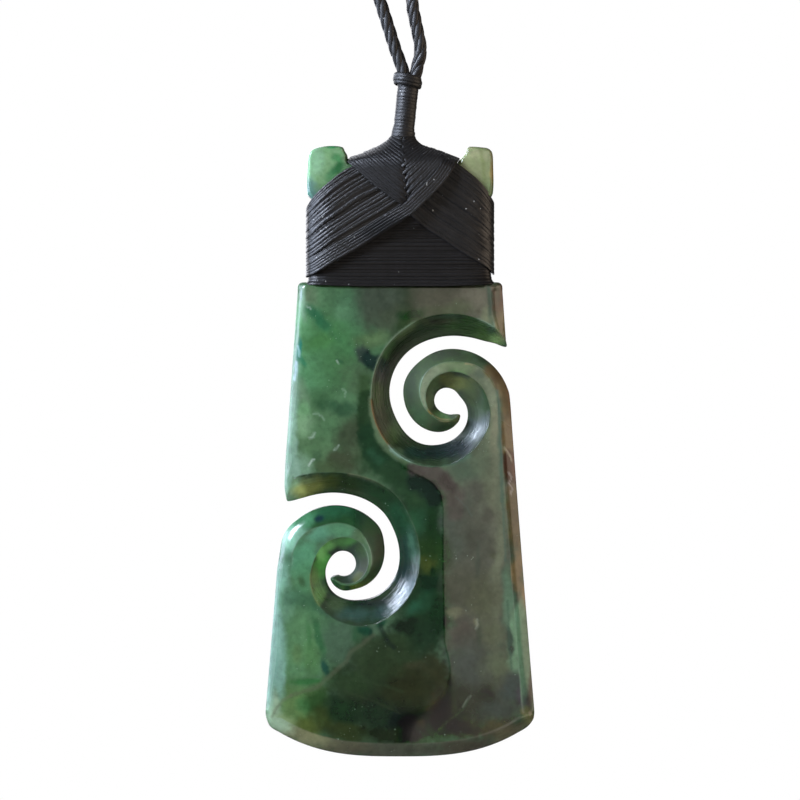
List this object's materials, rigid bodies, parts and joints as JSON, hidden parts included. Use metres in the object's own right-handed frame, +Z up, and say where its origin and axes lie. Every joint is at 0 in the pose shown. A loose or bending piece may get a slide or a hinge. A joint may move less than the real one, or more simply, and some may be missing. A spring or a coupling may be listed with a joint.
{
  "type": "double koru greenstone pendant on a cord loop",
  "caption": "Tapered green stone pendant with carved spiral openings, bound at the head with dark thread and hung on a looped neck cord.",
  "frame": {"origin": "front side of the cord at the nape, where it rests against the back of the neck", "axes": "+Z up; the pendant hangs in front, towards -Y, with its carved face looking along -Y; +X to the viewer's right when facing that face"},
  "size_m": [0.1256, 0.1365, 0.3538],
  "materials": {
    "greenstone": "polished",
    "binding_thread": "satin",
    "neck_cord": "satin"
  },
  "bodies": {
    "root": {"stone": "greenstone", "base_wrap": "binding_thread", "left_cross_wrap": "binding_thread", "right_cross_wrap": "binding_thread", "top_wrap": "binding_thread", "neck_whipping": "binding_thread", "neck_cord": "neck_cord"}
  },
  "joints": []
}
